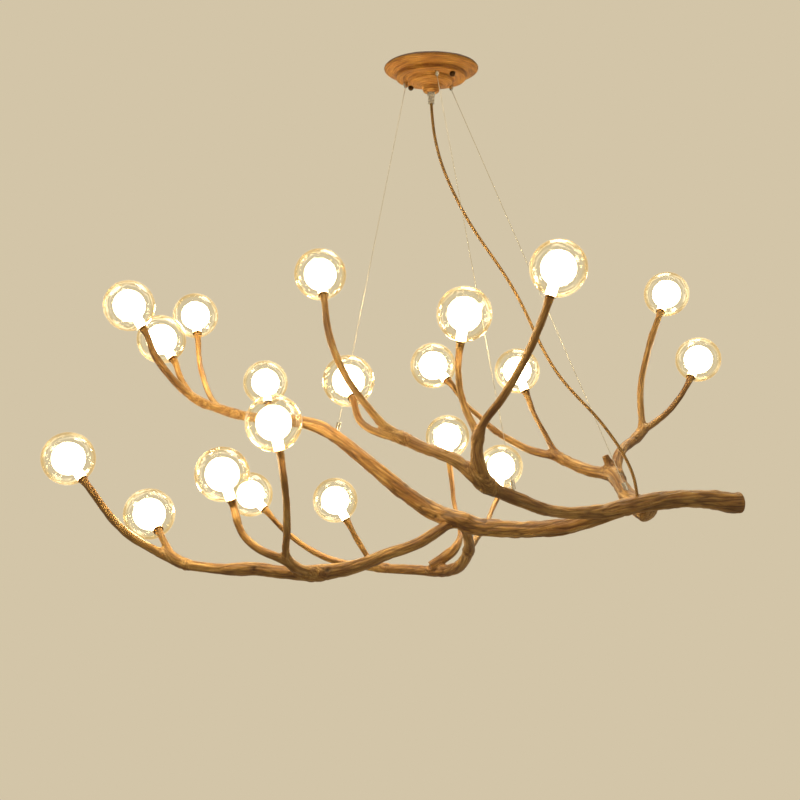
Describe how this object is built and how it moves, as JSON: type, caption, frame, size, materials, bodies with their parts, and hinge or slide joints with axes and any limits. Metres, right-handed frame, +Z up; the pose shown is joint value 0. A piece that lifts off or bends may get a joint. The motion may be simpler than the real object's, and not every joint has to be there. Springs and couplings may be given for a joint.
{
  "type": "bubble chandelier",
  "caption": "Branch chandelier on three wires under a turned ceiling canopy, with double-wall glass bubble globes on its wooden stems.",
  "frame": {"origin": "on the ceiling plane, at the centre of the canopy's bracket", "axes": "+Z up to the ceiling, +X to the right along the branch, towards its cut end, +Y away from the viewer"},
  "size_m": [1.3891, 0.6721, 1.0535],
  "materials": {
    "zinc_steel": "zinc plated",
    "turned_wood": "turned, brushed grain",
    "dark_bronze": "dark satin",
    "bright_nickel": "polished",
    "clear_nylon": "translucent moulded",
    "white_plastic": "moulded",
    "brown_braid": "braided sleeve",
    "core_insulation": "extruded",
    "steel_wire": "bright strand",
    "brown_plastic": "moulded",
    "lit_silicone": "cast silicone over LEDs",
    "branch_wood": "carved, oiled, open grain",
    "bubble_glass": "clear blown outside, frosted inside"
  },
  "bodies": {
    "canopy": {"ceiling_bracket": "zinc_steel", "canopy_cover": "turned_wood", "canopy_studs": "zinc_steel", "stud_lock_nuts": "zinc_steel", "ball_nuts": "dark_bronze", "wire_grippers": "bright_nickel", "gripper_nuts": "zinc_steel", "cord_grip": "clear_nylon", "cord_grip_nut": "clear_nylon", "terminal_block": "white_plastic", "terminal_screws": "zinc_steel", "cord_tail": "brown_braid", "cord_cores": "core_insulation"},
    "lamp": {"front_bough": "branch_wood", "main_bough": "branch_wood", "lower_bough": "branch_wood", "hooked_bough": "branch_wood", "rear_bough": "branch_wood", "bough_dowels": "zinc_steel", "lead_harness": "core_insulation", "wire_anchors": "bright_nickel", "left_wire": "steel_wire", "front_wire": "steel_wire", "right_wire": "steel_wire", "power_cord": "brown_braid", "lamp_holders": "brown_plastic", "led_capsules": "lit_silicone"},
    "left_plunger": {"left_release_plunger": "bright_nickel"},
    "front_plunger": {"front_release_plunger": "bright_nickel"},
    "right_plunger": {"right_release_plunger": "bright_nickel"},
    "bubble_01": {"globe_01": "bubble_glass"},
    "bubble_02": {"globe_02": "bubble_glass"},
    "bubble_03": {"globe_03": "bubble_glass"},
    "bubble_04": {"globe_04": "bubble_glass"},
    "bubble_05": {"globe_05": "bubble_glass"},
    "bubble_06": {"globe_06": "bubble_glass"},
    "bubble_07": {"globe_07": "bubble_glass"},
    "bubble_08": {"globe_08": "bubble_glass"},
    "bubble_09": {"globe_09": "bubble_glass"},
    "bubble_10": {"globe_10": "bubble_glass"},
    "bubble_11": {"globe_11": "bubble_glass"},
    "bubble_12": {"globe_12": "bubble_glass"},
    "bubble_13": {"globe_13": "bubble_glass"},
    "bubble_14": {"globe_14": "bubble_glass"},
    "bubble_15": {"globe_15": "bubble_glass"},
    "bubble_16": {"globe_16": "bubble_glass"},
    "bubble_17": {"globe_17": "bubble_glass"},
    "bubble_18": {"globe_18": "bubble_glass"},
    "bubble_19": {"globe_19": "bubble_glass"},
    "bubble_20": {"globe_20": "bubble_glass"}
  },
  "joints": [
    {"name": "lamp_swing", "type": "hinge", "parent": "canopy", "child": "lamp", "pos_m": [0, -0.0025, -0.038], "axis": [1, 0, 0], "range_deg": [-2, 2]},
    {"name": "left_release", "type": "slide", "parent": "canopy", "child": "left_plunger", "axis": [0, 0, 1], "range_m": [0, 0.002], "stiffness_N_per_m": 400, "springref_m": -0.002},
    {"name": "front_release", "type": "slide", "parent": "canopy", "child": "front_plunger", "axis": [0, 0, 1], "range_m": [0, 0.002], "stiffness_N_per_m": 400, "springref_m": -0.002},
    {"name": "right_release", "type": "slide", "parent": "canopy", "child": "right_plunger", "axis": [0, 0, 1], "range_m": [0, 0.002], "stiffness_N_per_m": 400, "springref_m": -0.002},
    {"name": "lift_globe_01", "type": "slide", "parent": "lamp", "child": "bubble_01", "axis": [-0.5249, 0, 0.8511], "range_m": [0, 0.045]},
    {"name": "lift_globe_02", "type": "slide", "parent": "lamp", "child": "bubble_02", "axis": [-0.5265, 0.301, 0.7951], "range_m": [0, 0.045]},
    {"name": "lift_globe_03", "type": "slide", "parent": "lamp", "child": "bubble_03", "axis": [-0.19, 0.5282, 0.8276], "range_m": [0, 0.045]},
    {"name": "lift_globe_04", "type": "slide", "parent": "lamp", "child": "bubble_04", "axis": [-0.1619, 0.5161, 0.8411], "range_m": [0, 0.045]},
    {"name": "lift_globe_05", "type": "slide", "parent": "lamp", "child": "bubble_05", "axis": [-0.1687, 0.4278, 0.888], "range_m": [0, 0.045]},
    {"name": "lift_globe_06", "type": "slide", "parent": "lamp", "child": "bubble_06", "axis": [-0.1443, -0.3859, 0.9112], "range_m": [0, 0.045]},
    {"name": "lift_globe_07", "type": "slide", "parent": "lamp", "child": "bubble_07", "axis": [-0.204, 0.7395, 0.6415], "range_m": [0, 0.045]},
    {"name": "lift_globe_08", "type": "slide", "parent": "lamp", "child": "bubble_08", "axis": [-0.5965, 0.4716, 0.6494], "range_m": [0, 0.045]},
    {"name": "lift_globe_09", "type": "slide", "parent": "lamp", "child": "bubble_09", "axis": [0.1025, -0.4014, 0.9102], "range_m": [0, 0.045]},
    {"name": "lift_globe_10", "type": "slide", "parent": "lamp", "child": "bubble_10", "axis": [-0.3205, 0.3171, 0.8926], "range_m": [0, 0.045]},
    {"name": "lift_globe_11", "type": "slide", "parent": "lamp", "child": "bubble_11", "axis": [0.2912, 0, 0.9567], "range_m": [0, 0.045]},
    {"name": "lift_globe_12", "type": "slide", "parent": "lamp", "child": "bubble_12", "axis": [0.3747, 0.4335, 0.8195], "range_m": [0, 0.045]},
    {"name": "lift_globe_13", "type": "slide", "parent": "lamp", "child": "bubble_13", "axis": [0.4544, 0.4065, 0.7926], "range_m": [0, 0.045]},
    {"name": "lift_globe_14", "type": "slide", "parent": "lamp", "child": "bubble_14", "axis": [-0.0746, 0.1192, 0.9901], "range_m": [0, 0.045]},
    {"name": "lift_globe_15", "type": "slide", "parent": "lamp", "child": "bubble_15", "axis": [0.1269, 0.3637, 0.9228], "range_m": [0, 0.045]},
    {"name": "lift_globe_16", "type": "slide", "parent": "lamp", "child": "bubble_16", "axis": [-0.6164, 0.2676, 0.7406], "range_m": [0, 0.045]},
    {"name": "lift_globe_17", "type": "slide", "parent": "lamp", "child": "bubble_17", "axis": [-0.5109, 0.6699, 0.5387], "range_m": [0, 0.045]},
    {"name": "lift_globe_18", "type": "slide", "parent": "lamp", "child": "bubble_18", "axis": [-0.2527, -0.3116, 0.916], "range_m": [0, 0.045]},
    {"name": "lift_globe_19", "type": "slide", "parent": "lamp", "child": "bubble_19", "axis": [-0.6853, 0.3879, 0.6163], "range_m": [0, 0.045]},
    {"name": "lift_globe_20", "type": "slide", "parent": "lamp", "child": "bubble_20", "axis": [-0.5054, 0.2399, 0.8288], "range_m": [0, 0.045]}
  ]
}
